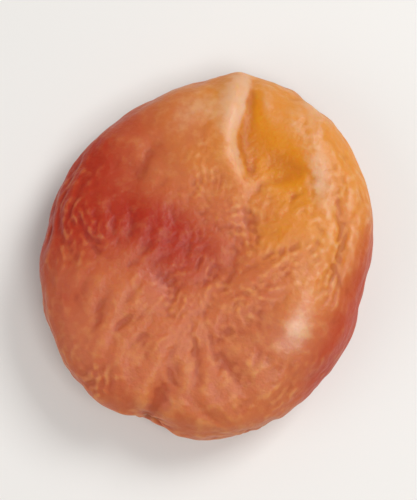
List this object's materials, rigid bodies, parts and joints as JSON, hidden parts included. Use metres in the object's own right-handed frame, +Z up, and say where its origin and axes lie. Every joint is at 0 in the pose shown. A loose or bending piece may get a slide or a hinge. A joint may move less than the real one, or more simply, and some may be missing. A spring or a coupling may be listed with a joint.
{
  "type": "dried apricot",
  "caption": "Large whole dried apricot, pitted: a plump, flattened oval fruit with a seam, a blunt tip, a puckered stalk scar and soft wrinkled skin, lying on its broad side.",
  "frame": {"origin": "on the resting surface, under the middle of the fruit's box", "axes": "+Y towards the tip, -Y towards the stalk scar, +Z up through the thickness, with the seam on the upper face"},
  "size_m": [0.041, 0.047, 0.014],
  "materials": {
    "skin": "soft waxy satin, wrinkled, translucent orange flesh with redder sides"
  },
  "bodies": {
    "root": {"apricot": "skin"}
  },
  "joints": []
}
